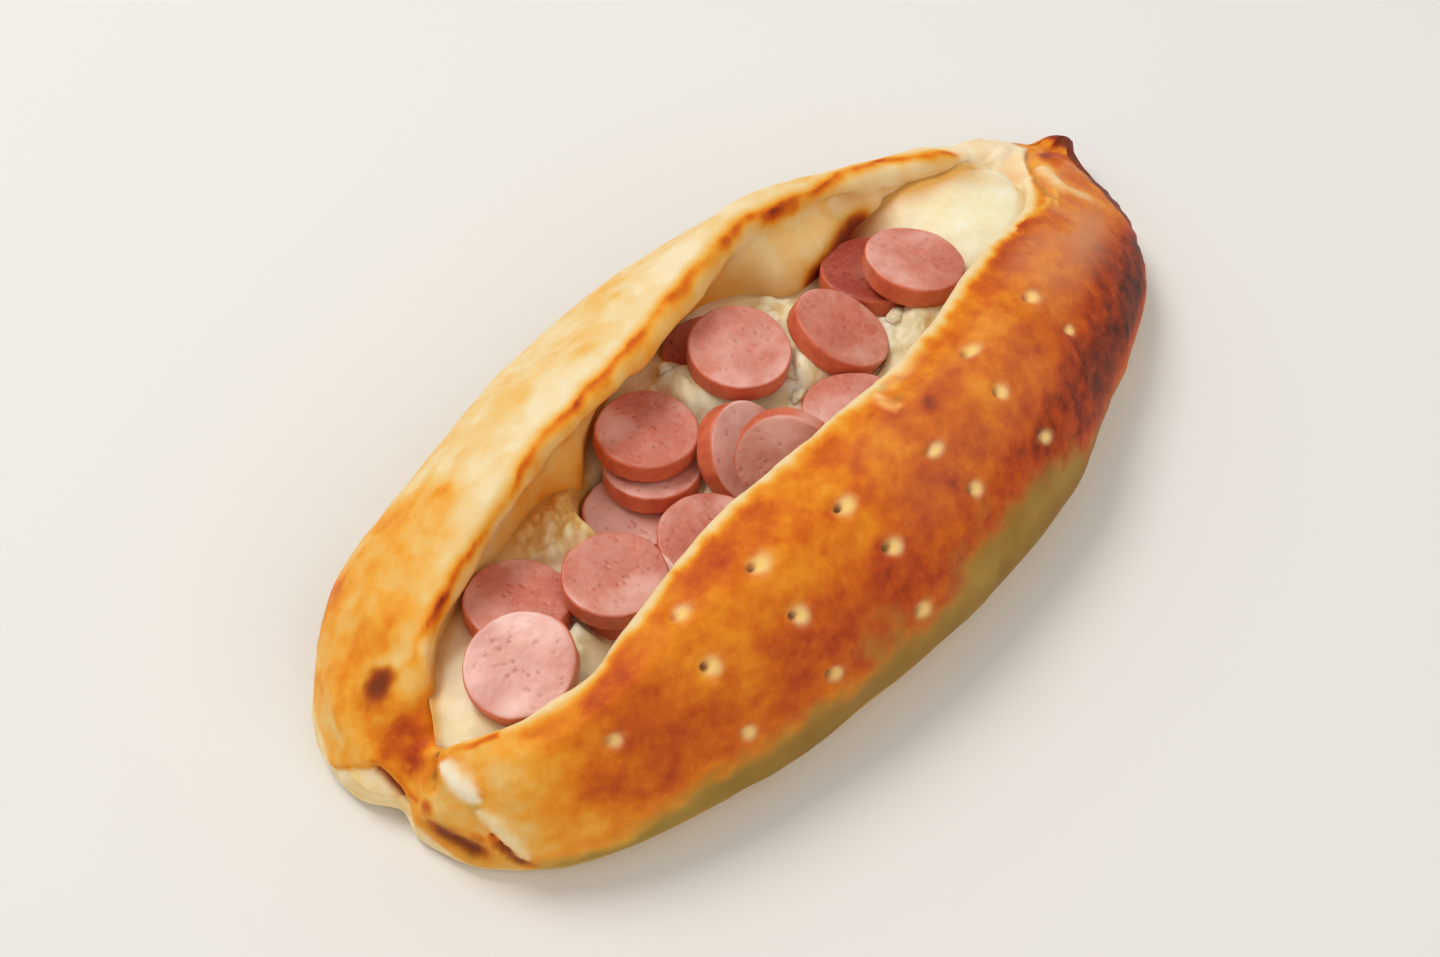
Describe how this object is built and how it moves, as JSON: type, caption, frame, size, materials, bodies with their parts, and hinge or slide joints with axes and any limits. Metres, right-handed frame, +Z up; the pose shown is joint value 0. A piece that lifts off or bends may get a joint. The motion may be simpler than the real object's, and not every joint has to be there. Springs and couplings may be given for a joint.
{
  "type": "manakish",
  "caption": "Boat-shaped folded flatbread with browned, docked crust, filled with melted white cheese and round sausage slices; lies flat.",
  "frame": {"origin": "middle of the underside's bounding rectangle, on the surface it lies on", "axes": "+X along the length from the pinched end to the pointed end, +Y towards the narrow flap, +Z up"},
  "size_m": [0.257, 0.1218, 0.044],
  "materials": {
    "crust": "satin, egg-washed and browned",
    "cheese": "moist",
    "sausage": "moist"
  },
  "bodies": {
    "root": {"dough": "crust", "cheese": "cheese", "slice_01": "sausage", "slice_02": "sausage", "slice_03": "sausage", "slice_04": "sausage", "slice_05": "sausage", "slice_06": "sausage", "slice_07": "sausage", "slice_08": "sausage", "slice_09": "sausage", "slice_10": "sausage", "slice_11": "sausage", "slice_12": "sausage", "slice_13": "sausage", "slice_14": "sausage", "slice_15": "sausage", "slice_16": "sausage"}
  },
  "joints": []
}
